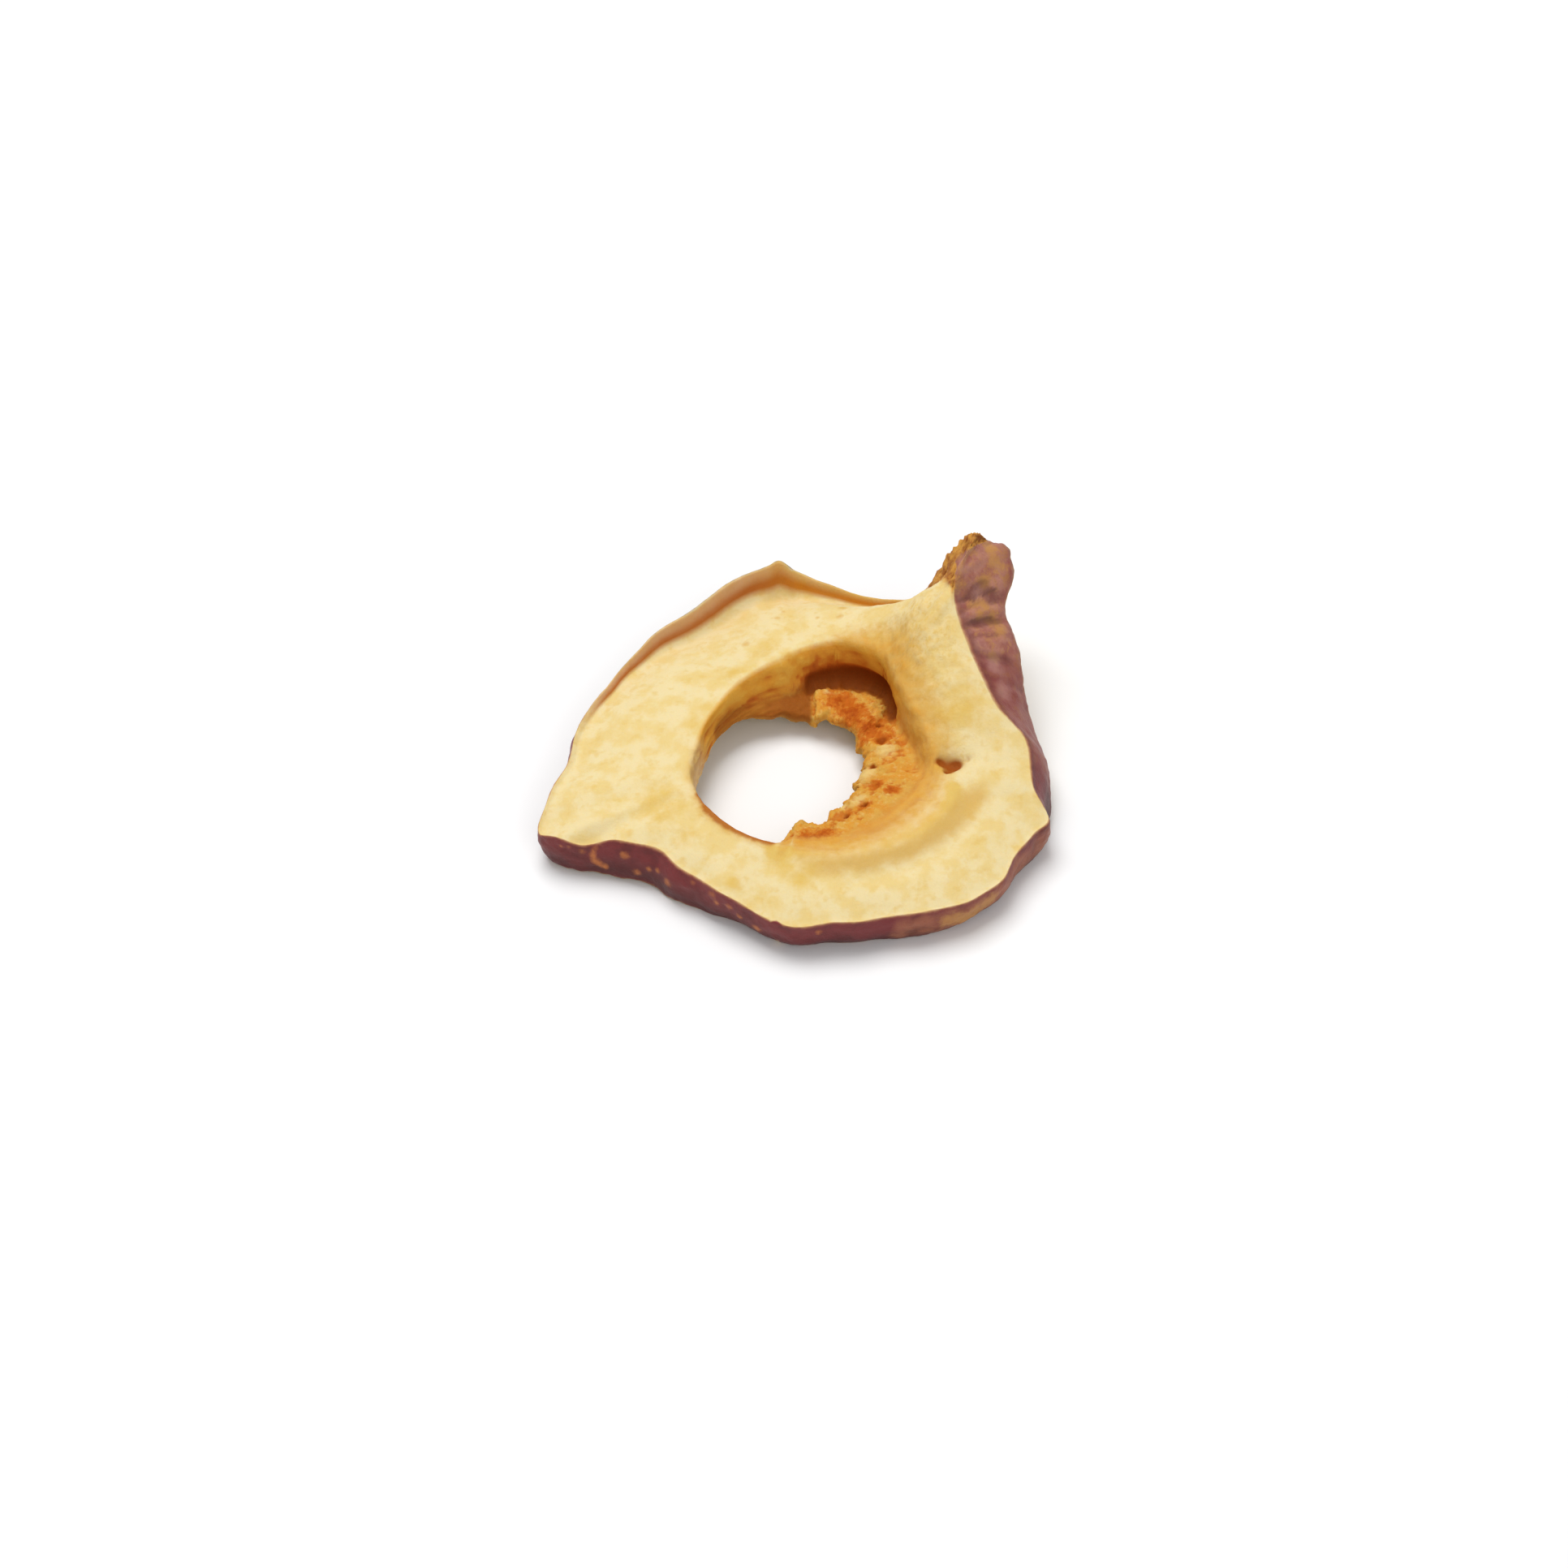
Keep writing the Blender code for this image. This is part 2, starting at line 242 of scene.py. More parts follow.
def lumps(size, octaves=3, rough=0.5, shift=0.0):
    """Noise over the slice, about -1 to 1, in lumps of a size in millimetres."""
    points = place / np.array(size) + shift
    falloff = -math.log2(rough)
    return np.array([noise.fractal(Vector(point), falloff, 2.0, octaves) for point in points]) * NOISE_STRETCH


MEAN_RADIUS = 15
SLANT = 0.7


def streaks(length, width, octaves=3, shift=0.0):
    """Noise drawn out round the ring, in streaks of a length, and of a width upwards and outwards, in mm."""
    ring_line = outwards * MEAN_RADIUS / length
    points = np.column_stack([ring_line, height / width, radius / width]) + shift
    return np.array([
        noise.fractal(Vector((across + out * SLANT, along - out * SLANT, up)), 1.0, 2.0, octaves)
        for across, along, up, out in points
    ]) * NOISE_STRETCH


# Stretches round the ring, each with the bearing of its middle and its reach to either side in degrees.
EAR = (25, 26)
EAR_LOW_END = (2, 20)
EAR_SHADED_EDGE = (8, 30)
TORN_TIP = (44, 24)
FLAP = (51, 8)
GROOVE = (66, 23)
FAR_LIP = (105, 50)
CRISP_WALL = (105, 62)
LEFT_COLLAR = (125, 30)
LEFT_END = (140, 34)
RIGHT_SKIN = (318, 24)
NEAR_COLLAR = (335, 95)

# Stretches of the surface, and how far each corner lies down the wall and down the lip.
OUTER_PART = (23.5, 25.5)
foot_radius = along_line(WALL_FOOT_ROW, 1)
foot_height = along_line(WALL_FOOT_ROW, 2)
torn_radius = along_line(TORN_EDGE_ROW, 1)
skin_radius = along_line(SKIN_TOP_ROW, 1)
skin_height = along_line(SKIN_TOP_ROW, 2)
rim_height = along_line(HOLE_RIM_ROW, 2)
down_wall = np.clip((rim_height - height) / (rim_height - foot_height), 0, 1)
torn = ramp(foot_radius - torn_radius, 1.0, 3.0)
bare = collar * (1 - torn)
collar = collar * torn
underside = np.clip(1 - skin - lip - cut - wall - collar - bare, 0, 1)
ear = between(*EAR) * skin
flap = between(*FLAP) * ramp(radius, *OUTER_PART) * lip
from_skin_edge = np.hypot(radius - skin_radius, height - skin_height)
lip_depth = np.hypot(along_line(LIP_FOOT_ROW, 1) - skin_radius, along_line(LIP_FOOT_ROW, 2) - skin_height)
down_lip = from_skin_edge / lip_depth

# Where the camera shows each corner, in pixels of a square picture of this width. Marks are placed by such
# pixels, each on the foremost surface within a few pixels of it.
PICTURE_SIZE = 1932
from_camera = place / 1000 - np.array(camera.location)
depth = from_camera @ np.array(forward)
upwards = np.array((0, math.sin(CAMERA_ELEVATION), math.cos(CAMERA_ELEVATION)))
picture_scale = PICTURE_SIZE * CAMERA_LENS_MM / CAMERA_SENSOR_MM
shown_x = PICTURE_SIZE / 2 + picture_scale * from_camera[:, 0] / depth
shown_y = PICTURE_SIZE / 2 - picture_scale * (from_camera @ upwards) / depth
SEARCH_PIXELS = 6
SAME_FACE_DEPTH = 0.0012


def shown_at(x, y):
    """The place on the slice that the camera shows at a pixel."""
    miss = np.hypot(shown_x - x, shown_y - y)
    front = (miss < SEARCH_PIXELS) & (depth < depth[miss < SEARCH_PIXELS].min() + SAME_FACE_DEPTH)
    return place[front][np.argmin(miss[front])]


def line_of_spots(pixels, reach, steps=12):
    """Soft line through places that the camera shows at pixels; reach is its half width in millimetres."""
    share = np.zeros(count)
    for (x0, y0), (x1, y1) in zip(pixels, pixels[1:]):
        for k in range(steps + 1):
            way = k / steps
            middle = shown_at(x0 + (x1 - x0) * way, y0 + (y1 - y0) * way)
            share = np.maximum(share, near(middle, (reach,) * 3))
    return share


def spots(marks):
    """Soft round marks, each at a pixel of the picture, with its size in millimetres."""
    share = np.zeros(count)
    for x, y, size in marks:
        share = np.maximum(share, near(shown_at(x, y), (size,) * 3))
    return share


# Seed pocket: a three-cornered pit in a shallow hollow, with a small dimple beside it and a faint crease that
# runs from them to the right. Each corner of the pit has a pixel, its reach in mm and its share of the depth.
SEED_PIT = (
    ((1176, 943), (0.85, 0.7, 0.9), 0.95),
    ((1160, 937), (0.95, 0.5, 0.9), 0.8),
    ((1168, 948), (0.6, 0.75, 0.7), 0.75),
)
SEED_HOLLOW = (1166, 946)
SEED_HOLLOW_REACH = (1.7, 1.3, 1.3)
SEED_DIMPLE = ((1194, 934, 0.5),)
SEED_CREASE = ((1200, 936), (1245, 937))
SEED_CREASE_WIDTH = 0.4
pit = np.clip(sum(share * near(shown_at(*pixel), reach) for pixel, reach, share in SEED_PIT), 0, 1)
seed_hollow = near(shown_at(*SEED_HOLLOW), SEED_HOLLOW_REACH)
dimple = spots(SEED_DIMPLE)
crease = line_of_spots(SEED_CREASE, SEED_CREASE_WIDTH)

# Collar: knobs and small pits of torn core flesh, some stained to rust and some left cream.
COLLAR_PITS = ((1087, 909, 0.7), (1085, 893, 0.45), (1064, 991, 0.5), (1042, 1003, 0.4), (1076, 944, 0.35))
COLLAR_KNOBS = ((989, 1013, 0.8), (1093, 922, 0.7), (1067, 956, 0.8))
COLLAR_RUST = (
    (1036, 862, 2.2), (1052, 878, 2.6), (1072, 896, 2.2), (1090, 908, 1.3), (1064, 914, 0.9),
    (1080, 966, 1.1), (1066, 994, 1.1), (1044, 1004, 0.8), (1016, 1027, 1.6), (1000, 1032, 1.8),
    (982, 1034, 1.5), (1098, 972, 1.2),
)
COLLAR_CREAM = ((1020, 852, 0.8), (1093, 924, 1.5), (1070, 955, 1.6), (1056, 985, 1.4), (1040, 994, 0.8))
collar_pits = spots(COLLAR_PITS)
collar_knobs = spots(COLLAR_KNOBS)

# Skin: corky freckles on the near rim, one of them drawn out into a crescent, a tan line along its right end,
# and tan patches, pale bloom and folds on the ear.
FRECKLES = (
    (717, 1048, 0.8), (700, 1043, 0.6), (690, 1042, 0.5), (770, 1053, 0.9), (787, 1075, 0.8),
    (798, 1070, 0.6), (810, 1072, 0.6), (823, 1087, 0.9), (832, 1067, 0.6), (855, 1087, 0.7),
    (877, 1102, 1.0), (883, 1113, 0.7), (897, 1118, 0.8), (912, 1128, 0.7), (933, 1142, 0.9),
    (1010, 1147, 0.8),
)
CRESCENT = ((740, 1039), (731, 1046), (731, 1060), (746, 1068))
CRESCENT_WIDTH = 0.6
TAN_EDGE = ((1170, 1135), (1197, 1128), (1222, 1107))
TAN_EDGE_WIDTH = 1.6
EAR_TAN = (
    (1187, 721, 1.1), (1213, 715, 1.2), (1197, 745, 1.0), (1213, 749, 1.2), (1205, 759, 0.8),
    (1222, 761, 1.2), (1229, 773, 1.6), (1221, 678, 1.3), (1226, 692, 1.5), (1225, 808, 1.0),
    (1236, 700, 1.0),
)
EAR_FOLDS = (
    ((1184, 741), (1200, 738)),
    ((1190, 766), (1206, 765), (1222, 759)),
    ((1212, 732), (1226, 727)),
    ((1198, 787), (1212, 782), (1226, 784)),
)
EAR_FOLD_WIDTH = 0.45
EAR_BLOOM = ((1184, 702, 1.3), (1205, 796, 1.5), (1225, 820, 1.8), (1205, 730, 1.0), (1236, 852, 1.6))
freckles = np.maximum(spots(FRECKLES), line_of_spots(CRESCENT, CRESCENT_WIDTH)) * skin
tan = np.maximum(spots(EAR_TAN), line_of_spots(TAN_EDGE, TAN_EDGE_WIDTH)) * skin
ear_folds = np.zeros(count)
for fold in EAR_FOLDS:
    ear_folds = np.maximum(ear_folds, line_of_spots(fold, EAR_FOLD_WIDTH) * skin)

# Ear's tip: the skin's top edge runs up to the right, with torn brown flesh above it.
TIP_LINE_X = (1170, 1176, 1189, 1207, 1221, 1232)
TIP_LINE_Y = (700, 689, 677, 670, 664, 664)
STRIP_EDGE_X = 1177
EDGE_SOFTNESS = 1.5
at_ear = between(*TORN_TIP) * ramp(radius, *OUTER_PART) * np.clip(skin + lip, 0, 1)
above_line = ramp(np.interp(shown_x, TIP_LINE_X, TIP_LINE_Y) - shown_y, -EDGE_SOFTNESS, EDGE_SOFTNESS)
torn_tip = at_ear * above_line
in_strip = ramp(shown_x, STRIP_EDGE_X - EDGE_SOFTNESS, STRIP_EDGE_X + EDGE_SOFTNESS)
skin_on_flap = flap * in_strip * (1 - above_line)
skin_shown = np.clip(skin * (1 - torn_tip) + skin_on_flap, 0, 1)
ear = np.maximum(ear, skin_on_flap)
flap = np.maximum(flap * (1 - skin_on_flap), torn_tip)

# Relief, in millimetres out of the surface: noise in coarse, medium and fine lumps, grain drawn out along the
# far wall, folds along the near skin and pleats across the ear.
ROUGH_FLESH = (1130, 780)
ROUGH_FLESH_REACH = (8.0, 7.0, 6.0)
WRINKLED_SKIN = (1208, 752)
WRINKLED_SKIN_REACH = (6.0, 6.0, 5.0)
rough_flesh = near(shown_at(*ROUGH_FLESH), ROUGH_FLESH_REACH) * cut
wrinkled = near(shown_at(*WRINKLED_SKIN), WRINKLED_SKIN_REACH) * skin
coarse = lumps(5.0, 2)
medium = lumps(1.9, 3, shift=11.0)
fine = lumps(0.8, 3, 0.6, shift=23.0)
grain = streaks(9.0, 0.65, shift=5.0)
folds = streaks(5.0, 1.5, shift=17.0)
PLEAT_WIDTH = 1.25
PLEAT_LENGTH = 7
SKIN_RADIUS = 26
pleat_round = outwards * SKIN_RADIUS / PLEAT_WIDTH
pleat_up = (height + radius) / PLEAT_LENGTH
pleats = np.array([
    noise.fractal(Vector((across, along, up)), 1.0, 2.0, 2)
    for (across, along), up in zip(pleat_round, pleat_up)
]) * 1.5
near_skin = skin * (1 - ear)
inside = np.clip(wall + collar + bare, 0, 1)
GROOVE_WIDTH = 1.3
GROOVE_HEIGHTS = (7.0, 4.8)
COLLAR_STAIN_ENDS = (7.0, 0.5)
at_foot = np.exp(-(((radius - foot_radius) / GROOVE_WIDTH) ** 2))
groove = between(*GROOVE) * at_foot * ramp(height, *GROOVE_HEIGHTS) * inside
near_collar = between(*NEAR_COLLAR) * ramp(radius - foot_radius, *COLLAR_STAIN_ENDS) * torn * (1 - underside)
flesh_relief = (
    0.07 * coarse + 0.05 * medium + 0.02 * fine + rough_flesh * (0.07 * medium + 0.10 * fine)
    + near_collar * (0.10 * medium + 0.06 * grain)
)
wall_relief = 0.15 * grain + 0.06 * medium
collar_relief = (0.24 * medium + 0.24 * fine + 0.12 * coarse) * (1 - 0.6 * between(*LEFT_COLLAR))
skin_relief = (
    near_skin * (0.14 * folds + 0.08 * medium + 0.03 * fine)
    + ear * (0.10 * pleats + 0.10 * medium) + wrinkled * 0.20 * pleats + 0.10 * freckles - 0.20 * ear_folds
)
under_relief = 0.14 * medium + 0.10 * grain + 0.12 * coarse
SEED_PIT_DEPTH = 0.55
SEED_HOLLOW_DEPTH = 0.25
DIMPLE_DEPTH = 0.25
CREASE_DEPTH = 0.05
COLLAR_PIT_DEPTH = 0.9
COLLAR_KNOB_HEIGHT = 0.45
GROOVE_DEPTH = 0.5
relief = (
    cut * flesh_relief + (wall + bare) * wall_relief + collar * collar_relief + skin_relief
    + underside * under_relief + lip * 0.05 * medium + flap * (0.22 * medium + 0.26 * fine)
    - pit * SEED_PIT_DEPTH - seed_hollow * SEED_HOLLOW_DEPTH - dimple * DIMPLE_DEPTH - crease * CREASE_DEPTH
    - collar_pits * COLLAR_PIT_DEPTH + collar_knobs * COLLAR_KNOB_HEIGHT * collar - groove * GROOVE_DEPTH
)
moved = place + facing * relief[:, None]

# The relief stays inside the solid's box, and fades out where the slice rests on the table.
BOX_MARGIN = 0.01
RELIEF_STARTS = 0.02
RELIEF_FULL = 0.35
low = np.array(cad_box[0]) * 1000 + BOX_MARGIN
high = np.array(cad_box[1]) * 1000 - BOX_MARGIN
low[2] = 0.0
moved = np.clip(moved, low, high)
resting = ramp(height, RELIEF_FULL, RELIEF_STARTS)
moved[:, 2] += (height - moved[:, 2]) * resting
moved[:, 2] = np.maximum(moved[:, 2], 0.0)
ring.data.vertices.foreach_set("co", (moved / 1000).ravel())
ring.data.update()
bpy.ops.object.shade_smooth()

# Colour shares. The flesh is golden in places, in small flecks and along the crest that runs round the
# collar, with painted shade in the valley outside that crest. It is brown on the hole's near left edge and
# ochre beside it, and the far wall has rust patches darkened further by painted shade.
GOLDEN_PLACES = (
    (1158, 878, 2.6), (1185, 870, 4.5), (815, 985, 4.0), (870, 900, 3.5), (880, 880, 2.5),
    (1178, 812, 1.6), (1116, 832, 1.3), (968, 1060, 2.6), (1000, 1063, 2.6), (983, 1083, 1.6),
    (842, 1030, 2.0), (905, 1090, 1.5), (940, 800, 2.0), (905, 830, 2.6),
)
GOLDEN_FLECKS = (
    (919, 792, 0.7), (958, 762, 0.5), (966, 753, 0.4), (1039, 748, 0.7), (1035, 760, 0.6),
    (1007, 761, 0.4), (1083, 772, 0.4), (1087, 779, 0.4), (1135, 843, 0.8), (1129, 838, 0.5),
    (972, 808, 0.6), (1116, 946, 0.6),
)
WALL_RUST_AND_SHADE = (
    (1024, 804, 0.9), (1036, 812, 1.2), (1022, 822, 1.3), (1006, 816, 1.1), (1045, 826, 1.4),
    (1065, 828, 1.4), (1085, 830, 1.3), (950, 845, 1.0), (925, 858, 1.0),
)
BROWN_EDGE = ((862, 982), (872, 996), (884, 1008), (898, 1017), (915, 1025), (932, 1031), (950, 1034))
BROWN_EDGE_WIDTH = 0.85
AMBER_EDGE_WIDTH = 1.3
CREST = (
    (1172, 972), (1164, 991), (1150, 1004), (1131, 1020), (1100, 1033), (1067, 1040), (1010, 1049),
    (955, 1047),
)
CREST_WIDTH = 1.5
VALLEY = (
    (1212, 950), (1202, 978), (1185, 1000), (1158, 1020), (1122, 1043), (1067, 1058), (1010, 1063),
    (965, 1060),
)
VALLEY_WIDTH = 1.9
VALLEY_STARTS_X = (950, 1030)
VALLEY_STARTS_Y = (945, 990)
golden = np.maximum(0.75 * spots(GOLDEN_PLACES), 1.4 * line_of_spots(CREST, CREST_WIDTH)) * cut
valley = line_of_spots(VALLEY, VALLEY_WIDTH) * cut
valley = valley * ramp(shown_x, *VALLEY_STARTS_X) * ramp(shown_y, *VALLEY_STARTS_Y)
brown_edge = line_of_spots(BROWN_EDGE, BROWN_EDGE_WIDTH) * (1 - underside)
amber_edge = line_of_spots(BROWN_EDGE, AMBER_EDGE_WIDTH) * (1 - underside)
far_lip = between(*FAR_LIP)
below_rim = ramp(skin_height - height, 1.2, 5.0)
crisp = between(*CRISP_WALL)
wall_cover = crisp * ramp(inside, 0.38, 0.60) + (1 - crisp) * ramp(inside, 0.15, 0.85) * 0.35
left_collar = between(*LEFT_COLLAR) * (collar + bare)
left_end = between(*LEFT_END)
LIP_TURNS_ROSY = (92, 106)
THIN_CREAM_FROM = (112, 98)
# Some shares paint shade: down the hole's wall and in its groove, at the collar's left under the far wall, in
# the lip's crease, low on the near skin, along the ear's edge, and in hollows, folds and pits.
SHADES = {
    "skin": skin_shown,
    "skin_line": 1 - 0.85 * far_lip,
    "inside": wall_cover,
    # Rust and painted shade, deeper down the wall and in its groove.
    "low_wall": np.clip(down_wall * (0.85 - 0.35 * left_end) + 0.3 * spots(WALL_RUST_AND_SHADE) + groove, 0, 1.5),
    "streak": grain * 0.5 + 0.5,
    "left_collar": ramp(left_collar, 0.2, 0.8),
    "groove": groove,
    "collar": collar,
    "bowl": np.maximum(near_collar, amber_edge * 0.9),
    "rusty": spots(COLLAR_RUST),
    "creamy": spots(COLLAR_CREAM),
    "lip": far_lip * ramp(down_lip, 0.86, 0.62) * (lip + cut),
    "down_lip": np.clip(down_lip + 0.18 * ramp(bearing, *THIN_CREAM_FROM), 0, 2),
    "lip_left": ramp(bearing, *LIP_TURNS_ROSY),
    "flap": flap,
    "underside": underside,
    "ear": ear,
    "low_ear": between(*EAR_LOW_END) * skin,
    # Painted shadow along the ear skin's edge with the flesh.
    "ear_edge_shade": between(*EAR_SHADED_EDGE) * skin * ramp(from_skin_edge, 1.6, 0.2),
    "ear_bloom": spots(EAR_BLOOM) * skin,
    "bloom": far_lip * skin * ramp(from_skin_edge, 1.4, 0.4),
    # Painted shade low on the near skin.
    "low_skin_shade": near_skin * below_rim,
    # Painted shade: darker where the relief sinks.
    "hollow": np.clip(0.5 - relief * 1.8, 0, 1),
    # Painted shade in the ear's folds and between its pleats.
    "fold": 0.45 * ramp(-pleats, 0.1, 0.7) * wrinkled + 0.8 * ear_folds,
    "pit": np.clip(pit + 0.3 * dimple + collar_pits, 0, 1),
    "seed_hollow": seed_hollow,
    "golden": golden,
    "valley": valley,
    "flecks": spots(GOLDEN_FLECKS),
    "rough": rough_flesh,
    "brown_edge": brown_edge,
    "freckles": np.clip(freckles, 0, 1),
    "tan": tan,
    "right_skin": between(*RIGHT_SKIN) * near_skin,
}
for name, share in SHADES.items():
    layer = ring.data.attributes.get(name) or ring.data.attributes.new(name, "FLOAT", "POINT")
    layer.data.foreach_set("value", share.astype(np.float32))
for name in ("cut", "wall"):
    ring.data.attributes.remove(ring.data.attributes[name])

# Dried apple: pale flesh that turns ochre, amber and orange where it dried last, under a plum skin, with
# shade painted into its valleys, hollows, folds, pits and the foot of the hole.
apple = bpy.data.materials.new("Dried apple")
apple.use_nodes = True
tree = apple.node_tree
shader = tree.nodes["Principled BSDF"]
coordinates = tree.nodes.new("ShaderNodeTexCoord")
millimetres = tree.nodes.new("ShaderNodeVectorMath")
millimetres.operation = "SCALE"
millimetres.inputs["Scale"].default_value = 1000
tree.links.new(coordinates.outputs["Object"], millimetres.inputs["Vector"])


def share_of(name):
    """One of the colour shares, as the surface carries it."""
    node = tree.nodes.new("ShaderNodeAttribute")
    node.attribute_name = name
    return node.outputs["Fac"]


def cloud(size, detail=3, rough=0.5, twist=0.0):
    """Noise in soft lumps of a size in millimetres."""
    node = tree.nodes.new("ShaderNodeTexNoise")
    node.inputs["Scale"].default_value = 1 / size
    node.inputs["Detail"].default_value = detail
    node.inputs["Roughness"].default_value = rough
    node.inputs["Distortion"].default_value = twist
    tree.links.new(millimetres.outputs["Vector"], node.inputs["Vector"])
    return node.outputs["Fac"]


def rise(value, low, high):
    """From 0 at low to 1 at high."""
    node = tree.nodes.new("ShaderNodeMapRange")
    node.interpolation_type = "SMOOTHSTEP"
    node.inputs["From Min"].default_value = low
    node.inputs["From Max"].default_value = high
    tree.links.new(value, node.inputs["Value"])
    return node.outputs["Result"]


def maths(operation, first, second):
    """One sum on two values, each a number or a socket."""
    node = tree.nodes.new("ShaderNodeMath")
    node.operation = operation
    for value, socket in ((first, node.inputs[0]), (second, node.inputs[1])):
        if isinstance(value, (int, float)):
            socket.default_value = value
        else:
            tree.links.new(value, socket)
    return node.outputs[0]


def ragged(value, size, amount, rough=0.55):
    """A share with its edge broken up by noise of a size in millimetres."""
    return maths("ADD", value, maths("MULTIPLY", maths("SUBTRACT", cloud(size, 4, rough), 0.5), amount))


def dyed(share, under, over, strength=1.0):
    """One colour laid over another by a share."""
    node = tree.nodes.new("ShaderNodeMix")
    node.data_type = "RGBA"
    if strength != 1.0:
        share = maths("MULTIPLY", share, strength)
    tree.links.new(share, node.inputs["Factor"])
    for value, socket in ((under, node.inputs["A"]), (over, node.inputs["B"])):
        if isinstance(value, tuple):
            socket.default_value = (*value, 1)
        else:
            tree.links.new(value, socket)
    return node.outputs["Result"]


# Cut face: cream and pale yellow in soft clouds, with gold, ochre and amber where it dried last, and painted
# shade in the valley outside the crest.
CREAM = (0.74, 0.61, 0.33)
PALE_YELLOW = (0.71, 0.53, 0.205)
WARM_YELLOW = (0.74, 0.53, 0.19)
GOLD = (0.67, 0.455, 0.118)
OCHRE = (0.60, 0.335, 0.062)
AMBER = (0.64, 0.28, 0.028)
VALLEY_SHADE = (0.61, 0.385, 0.105)
flesh = dyed(rise(cloud(3.0, 4, 0.55), 0.40, 0.64), CREAM, PALE_YELLOW, 0.85)
flesh = dyed(rise(cloud(1.4, 3, 0.5), 0.52, 0.74), flesh, GOLD, 0.45)
flesh = dyed(rise(ragged(share_of("golden"), 1.9, 1.1, 0.6), 0.18, 0.95), flesh, GOLD, 0.95)
flesh = dyed(rise(ragged(share_of("valley"), 2.0, 0.7, 0.6), 0.10, 1.0), flesh, VALLEY_SHADE, 0.9)
flesh = dyed(maths("MULTIPLY", rise(cloud(0.6, 4, 0.65), 0.47, 0.64), share_of("rough")), flesh, GOLD, 0.9)
flesh = dyed(share_of("rough"), flesh, WARM_YELLOW, 0.4)
flesh = dyed(rise(ragged(share_of("flecks"), 0.6, 0.7), 0.2, 1.0), flesh, OCHRE, 0.6)
bowl_share = ragged(share_of("bowl"), 1.4, 0.8, 0.65)
flesh = dyed(rise(bowl_share, 0.08, 0.95), flesh, OCHRE, 0.85)
flesh = dyed(rise(bowl_share, 0.75, 1.25), flesh, AMBER, 0.7)

# Wall of the hole: gold, then amber, then rust and painted shade towards its foot, streaked round the ring.
WALL_GOLD = (0.67, 0.345, 0.045)
RUST_AND_SHADE = (0.50, 0.125, 0.010)
DEEP_RUST_AND_SHADE = (0.38, 0.070, 0.005)
streak_share = maths("MULTIPLY", maths("SUBTRACT", share_of("streak"), 0.5), -0.9)
depth_down = ragged(maths("ADD", share_of("low_wall"), streak_share), 1.2, 0.4, 0.65)
wall_tint = dyed(rise(depth_down, 0.00, 0.38), WALL_GOLD, AMBER)
wall_tint = dyed(rise(depth_down, 0.38, 0.85), wall_tint, RUST_AND_SHADE)
wall_tint = dyed(rise(depth_down, 0.80, 1.25), wall_tint, DEEP_RUST_AND_SHADE)
flesh = dyed(share_of("inside"), flesh, wall_tint, 0.97)

# Collar: orange core flesh, cream on its knobs and rust in patches; painted shade in its hollows and at its
# left.
ORANGE_GOLD = (0.61, 0.265, 0.032)
LEFT_COLLAR_SHADE = (0.28, 0.080, 0.010)
GROOVE_SHADOW = (0.16, 0.030, 0.003)
collar_tint = dyed(rise(cloud(1.6, 5, 0.65), 0.40, 0.62), ORANGE_GOLD, OCHRE)
collar_tint = dyed(rise(cloud(0.7, 4, 0.7), 0.50, 0.68), collar_tint, PALE_YELLOW, 0.35)
cream_share = ragged(share_of("creamy"), 0.9, 1.2, 0.65)
collar_tint = dyed(rise(cream_share, 0.25, 1.0), collar_tint, PALE_YELLOW, 0.75)
rust_share = ragged(share_of("rusty"), 0.9, 1.9, 0.7)
collar_tint = dyed(rise(rust_share, 0.20, 0.75), collar_tint, RUST_AND_SHADE, 0.95)
collar_tint = dyed(rise(rust_share, 0.65, 1.15), collar_tint, DEEP_RUST_AND_SHADE)
# Painted shade in rust tones where the collar's relief sinks.
collar_tint = dyed(rise(share_of("hollow"), 0.58, 0.92), collar_tint, RUST_AND_SHADE, 0.75)
# Painted shade at the collar's left, under the far wall.
collar_tint = dyed(share_of("left_collar"), collar_tint, LEFT_COLLAR_SHADE, 0.9)
flesh = dyed(rise(share_of("collar"), 0.15, 0.75), flesh, collar_tint)
flesh = dyed(share_of("left_collar"), flesh, LEFT_COLLAR_SHADE, 0.7)
# Painted shadow in the groove along the wall's foot.
flesh = dyed(rise(share_of("groove"), 0.2, 0.8), flesh, GROOVE_SHADOW, 0.85)

# Lip: a thin cream edge, then tan down to an orange crease, all rosier and browner at the left. The tan side
# and the crease are browned flesh with painted shade.
LIP_CREAM = (0.80, 0.60, 0.23)
LIP_MAUVE = (0.70, 0.45, 0.26)
LIP_TAN = (0.62, 0.33, 0.060)
LIP_ROSE = (0.56, 0.27, 0.13)
LIP_ORANGE = (0.55, 0.190, 0.011)
LIP_BROWN = (0.44, 0.120, 0.015)
lip_rim = dyed(share_of("lip_left"), LIP_CREAM, LIP_MAUVE)
lip_side = dyed(share_of("lip_left"), LIP_TAN, LIP_ROSE)
lip_crease_shade = dyed(share_of("lip_left"), LIP_ORANGE, LIP_BROWN)
lip_down = ragged(share_of("down_lip"), 2.0, 0.15)
lip_tint = dyed(rise(lip_down, 0.06, 0.20), lip_rim, lip_side)
lip_tint = dyed(rise(lip_down, 0.28, 0.66), lip_tint, lip_crease_shade)
flesh = dyed(share_of("lip"), flesh, lip_tint, 0.95)

